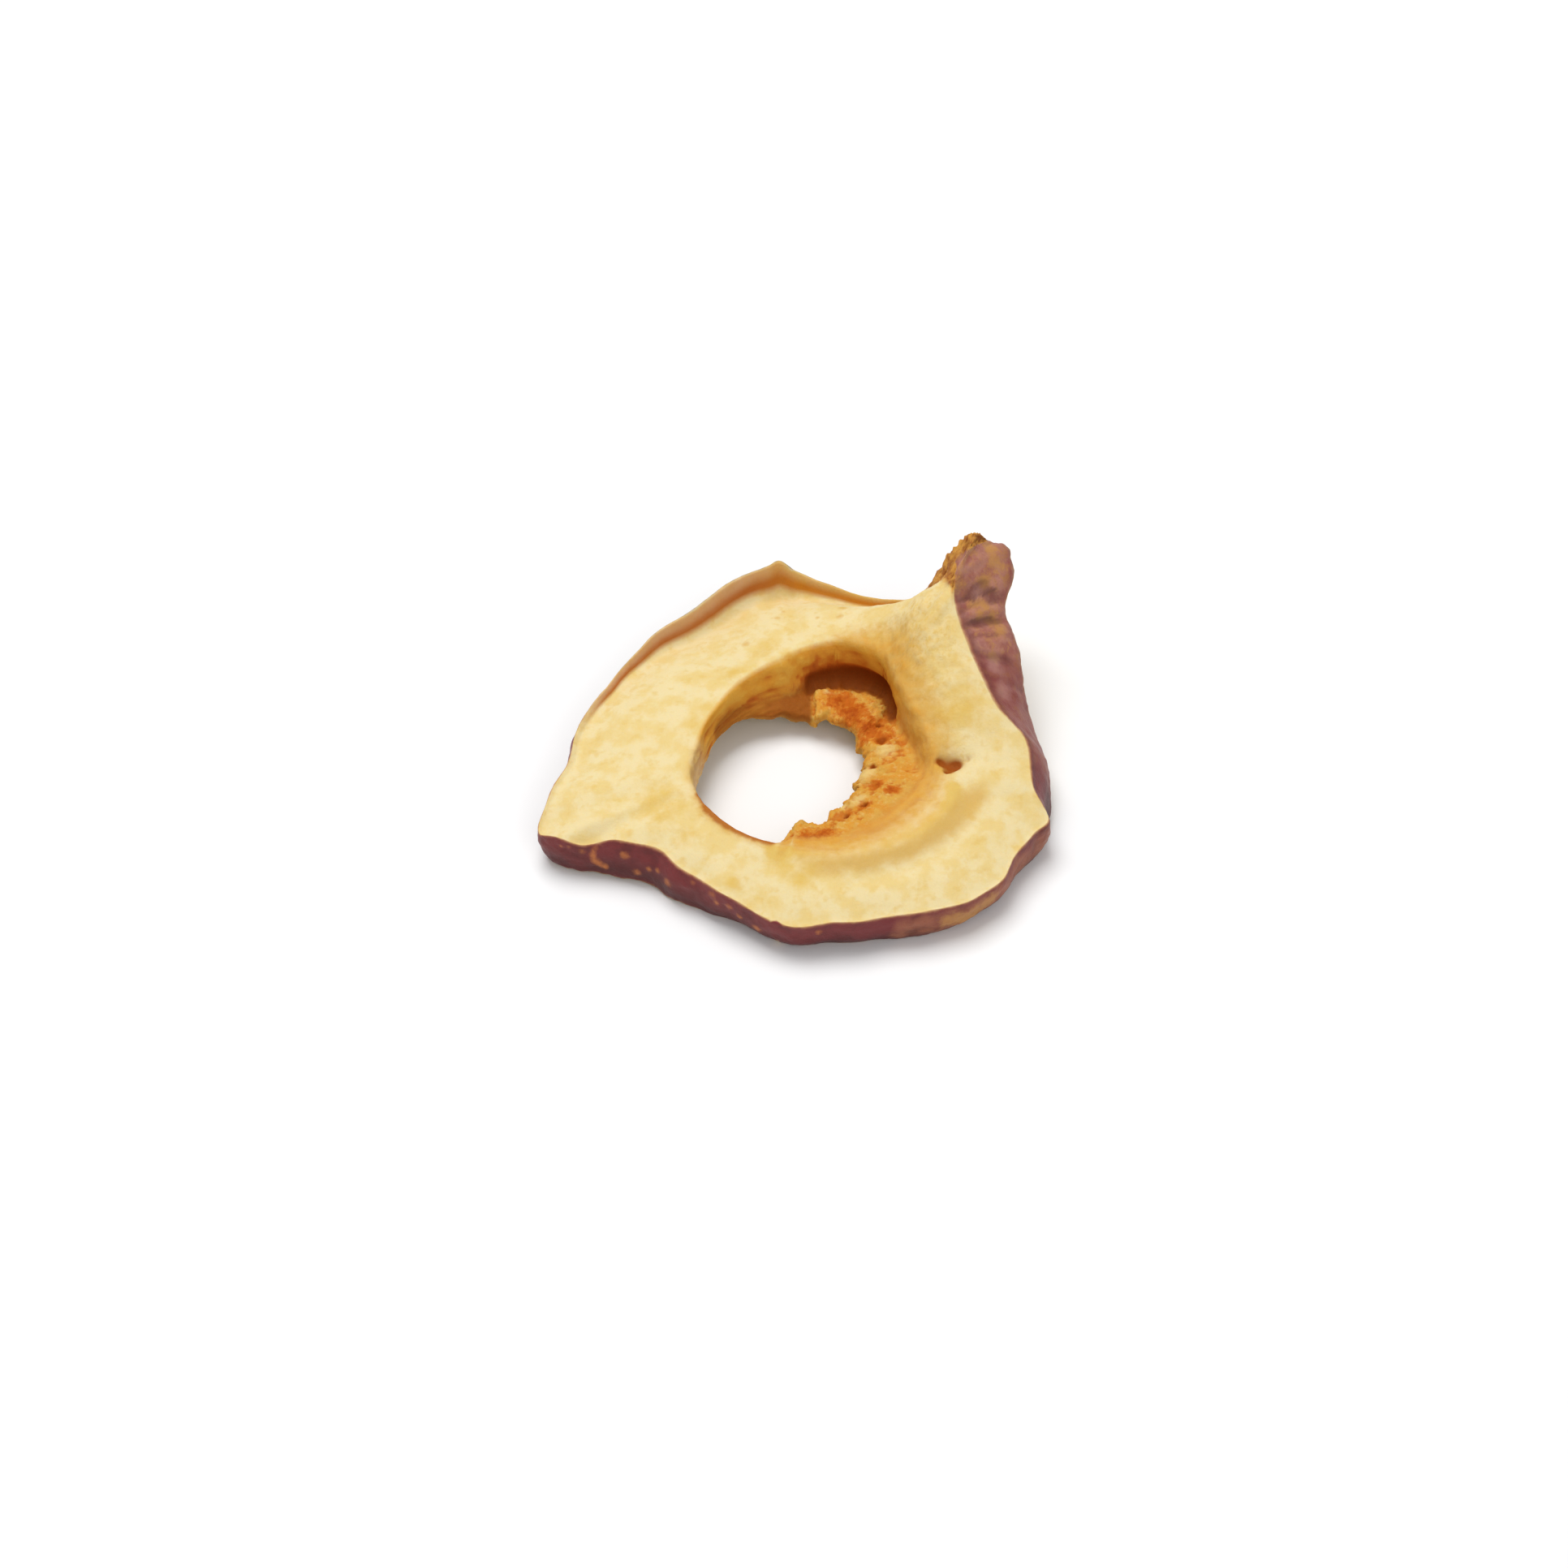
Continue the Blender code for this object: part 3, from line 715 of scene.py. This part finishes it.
# Underside, the hole's brown near edge and the seed pocket, its pits brown with painted shade.
EDGE_RUST = (0.36, 0.095, 0.010)
PIT_BROWN_AND_SHADE = (0.30, 0.062, 0.004)
under_tint = dyed(rise(cloud(2.6, 5, 0.6), 0.38, 0.64), GOLD, OCHRE)
flesh = dyed(share_of("underside"), flesh, under_tint, 0.75)
flesh = dyed(rise(ragged(share_of("brown_edge"), 0.8, 0.4), 0.30, 0.85), flesh, EDGE_RUST, 0.85)
flesh = dyed(share_of("seed_hollow"), flesh, OCHRE, 0.75)
flesh = dyed(rise(share_of("pit"), 0.08, 0.62), flesh, PIT_BROWN_AND_SHADE, 0.95)

# Skin of the rim: plum, with painted shade low down, brown at the right and freckled with cork.
PLUM = (0.190, 0.029, 0.029)
DARK_PLUM = (0.065, 0.013, 0.012)
RIGHT_BROWN = (0.36, 0.125, 0.060)
CORK = (0.54, 0.175, 0.042)
peel = dyed(rise(cloud(3.0, 4, 0.6), 0.45, 0.72), PLUM, DARK_PLUM, 0.5)
peel = dyed(share_of("low_skin_shade"), peel, DARK_PLUM, 0.85)
peel = dyed(rise(ragged(share_of("right_skin"), 2.0, 1.2), 0.4, 1.2), peel, RIGHT_BROWN, 0.75)

# Skin of the ear: mauve and rose with tan patches, painted shade in its folds and along its edge, and pale
# bloom.
MAUVE = (0.43, 0.190, 0.132)
ROSE = (0.32, 0.108, 0.080)
TAN = (0.47, 0.225, 0.062)
FOLD_SHADE = (0.17, 0.058, 0.045)
BLOOM = (0.64, 0.42, 0.22)
PALE_BLOOM = (0.50, 0.27, 0.23)
ear_peel = dyed(rise(cloud(2.2, 5, 0.65), 0.38, 0.62), MAUVE, ROSE)
ear_peel = dyed(rise(cloud(1.3, 4, 0.65, 0.5), 0.47, 0.68), ear_peel, TAN, 0.65)
ear_peel = dyed(rise(ragged(share_of("low_ear"), 2.0, 0.8), 0.1, 1.0), ear_peel, PLUM, 0.65)
peel = dyed(share_of("ear"), peel, ear_peel, 0.95)
peel = dyed(rise(ragged(share_of("tan"), 0.9, 1.3, 0.65), 0.25, 1.05), peel, TAN, 0.85)
peel = dyed(rise(ragged(share_of("ear_bloom"), 1.2, 0.8), 0.2, 1.1), peel, PALE_BLOOM, 0.45)
peel = dyed(rise(ragged(share_of("fold"), 0.8, 0.9), 0.20, 1.15), peel, FOLD_SHADE, 0.55)
# Painted shadow along the ear skin's edge.
peel = dyed(share_of("ear_edge_shade"), peel, DARK_PLUM, 0.6)
peel = dyed(rise(ragged(share_of("freckles"), 0.6, 0.6), 0.42, 1.15), peel, CORK, 0.85)
# Painted shade in the skin's hollows.
peel = dyed(rise(share_of("hollow"), 0.58, 0.95), peel, DARK_PLUM, 0.45)
peel = dyed(share_of("bloom"), peel, BLOOM)

# Where skin meets flesh the line wanders a little and is brown. The ear's torn tip is bare brown flesh, with
# painted shade in its hollows.
EDGE_BROWN = (0.36, 0.13, 0.07)
TIP_BROWN = (0.33, 0.12, 0.030)
TIP_ORANGE = (0.56, 0.27, 0.055)
TIP_HOLLOW_SHADE = (0.16, 0.035, 0.004)
wandering = ragged(share_of("skin"), 0.9, 0.16)
skin_cover = rise(wandering, 0.44, 0.58)
skin_line = maths("MULTIPLY", rise(wandering, 0.26, 0.46), rise(wandering, 0.66, 0.52))
colour = dyed(skin_cover, flesh, peel)
colour = dyed(maths("MULTIPLY", skin_line, share_of("skin_line")), colour, EDGE_BROWN, 0.6)
torn_flap = dyed(rise(cloud(1.5, 5, 0.65), 0.40, 0.60), TIP_BROWN, TIP_ORANGE)
torn_flap = dyed(rise(share_of("hollow"), 0.55, 0.95), torn_flap, TIP_HOLLOW_SHADE, 0.7)
colour = dyed(rise(ragged(share_of("flap"), 0.8, 0.4), 0.10, 0.50), colour, torn_flap)
tree.links.new(colour, shader.inputs["Base Color"])

# Finish: matt flesh, a slightly smoother skin, and light that sinks a little way in, red the deepest.
FLESH_ROUGHNESS = 0.62
SKIN_SMOOTHNESS = 0.18
UNEVEN_ROUGHNESS = 0.15
FLESH_GLOSS = 0.05
SKIN_GLOSS = 0.22
LIGHT_SINKS_IN = 0.25
LIGHT_DEPTH = 0.001
LIGHT_DEPTH_BY_COLOUR = (0.7, 0.5, 0.25)
even_roughness = maths("SUBTRACT", FLESH_ROUGHNESS, maths("MULTIPLY", skin_cover, SKIN_SMOOTHNESS))
unevenness = maths("MULTIPLY", maths("SUBTRACT", cloud(1.5, 3), 0.5), UNEVEN_ROUGHNESS)
gloss = maths("ADD", maths("MULTIPLY", skin_cover, SKIN_GLOSS), FLESH_GLOSS)
tree.links.new(maths("ADD", even_roughness, unevenness), shader.inputs["Roughness"])
tree.links.new(gloss, shader.inputs["Specular IOR Level"])
shader.inputs["Subsurface Weight"].default_value = LIGHT_SINKS_IN
shader.inputs["Subsurface Radius"].default_value = LIGHT_DEPTH_BY_COLOUR
shader.inputs["Subsurface Scale"].default_value = LIGHT_DEPTH

# Grain finer than the mesh, about a tenth of a millimetre deep.
GRAIN_STRENGTH = 0.55
GRAIN_DEPTH = 0.00012
fine_grain = maths("ADD", cloud(0.35, 4, 0.65), maths("MULTIPLY", cloud(0.9, 3, 0.6), 1.2))
bump = tree.nodes.new("ShaderNodeBump")
bump.inputs["Strength"].default_value = GRAIN_STRENGTH
bump.inputs["Distance"].default_value = GRAIN_DEPTH
tree.links.new(fine_grain, bump.inputs["Height"])
tree.links.new(bump.outputs["Normal"], shader.inputs["Normal"])
ring.data.materials.append(apple)

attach(ring, "root")
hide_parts("apple_ring")
